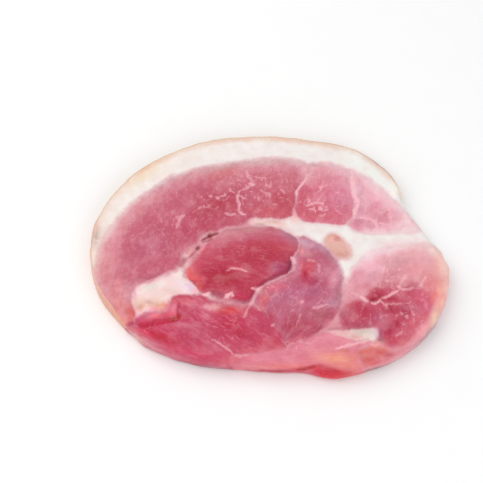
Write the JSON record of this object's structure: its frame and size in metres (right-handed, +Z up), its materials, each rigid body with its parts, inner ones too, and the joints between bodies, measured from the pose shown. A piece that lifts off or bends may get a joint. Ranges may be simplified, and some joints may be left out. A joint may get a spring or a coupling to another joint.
{
  "type": "smoked gammon steak",
  "caption": "Slice across a smoked cured leg of pork, lying flat: rosy lean muscles parted by fat, a white fat cap and a tan rind along the back edge.",
  "frame": {"origin": "middle of the slice's box, at the height of its flat underside", "axes": "+X along the slice towards its lobe without rind, +Y across it towards the rind, +Z up out of the cut face"},
  "size_m": [0.207, 0.1576, 0.0127],
  "materials": {
    "meat": "moist satin"
  },
  "bodies": {
    "root": {"gammon_steak": "meat"}
  },
  "joints": []
}
